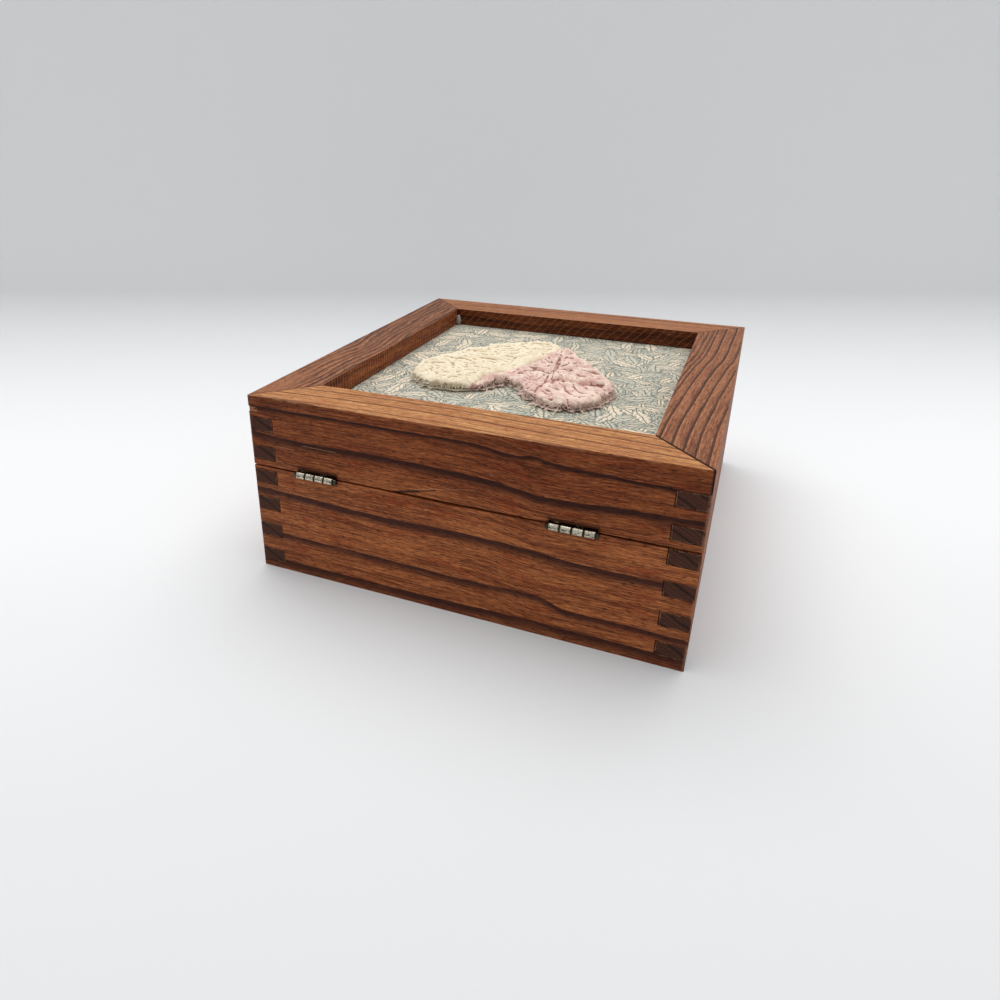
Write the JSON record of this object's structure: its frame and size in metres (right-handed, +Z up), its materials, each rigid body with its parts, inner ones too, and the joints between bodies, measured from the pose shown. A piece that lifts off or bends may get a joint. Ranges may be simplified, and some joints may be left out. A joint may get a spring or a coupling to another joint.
{
  "type": "wooden keepsake box",
  "caption": "Box-jointed wooden keepsake box with a hinged lid, a mitred top frame and a padded fabric heart on a printed cloth panel.",
  "frame": {"origin": "middle of the underside", "axes": "+Z up; +Y towards the hinges at the back; the front, which opens, faces -Y; +X to the right as seen from the front"},
  "size_m": [0.18, 0.1973, 0.08],
  "materials": {
    "dark_wood": "satin",
    "rail_wood": "satin",
    "panel_wood": "matte",
    "key_wood": "satin",
    "print_cloth": "matte",
    "cream_cloth": "matte",
    "pink_cloth": "matte",
    "nickel": "polished, a little worn",
    "screw_steel": "brushed"
  },
  "bodies": {
    "box": {"wall_front": "dark_wood", "wall_back": "dark_wood", "wall_left": "dark_wood", "wall_right": "dark_wood", "bottom_panel": "panel_wood", "box_leaf_left": "nickel", "box_leaf_right": "nickel", "hinge_pin_left": "nickel", "hinge_pin_right": "nickel", "box_screw_left_left": "screw_steel", "box_screw_left_right": "screw_steel", "box_screw_right_left": "screw_steel", "box_screw_right_right": "screw_steel"},
    "lid": {"lid_wall_front": "dark_wood", "lid_wall_back": "dark_wood", "lid_wall_left": "dark_wood", "lid_wall_right": "dark_wood", "top_rail_front": "rail_wood", "top_rail_back": "rail_wood", "top_rail_left": "rail_wood", "top_rail_right": "rail_wood", "mitre_key": "key_wood", "panel_board": "panel_wood", "panel_fabric": "print_cloth", "heart_cream": "cream_cloth", "heart_pink": "pink_cloth", "lid_leaf_left": "nickel", "lid_leaf_right": "nickel", "lid_screw_left_left": "screw_steel", "lid_screw_left_right": "screw_steel", "lid_screw_right_left": "screw_steel", "lid_screw_right_right": "screw_steel"}
  },
  "joints": [
    {"name": "lid_hinge", "type": "hinge", "parent": "box", "child": "lid", "pos_m": [0, 0.09878, 0.0492], "axis": [-1, 0, 0], "range_deg": [0, 180]}
  ]
}
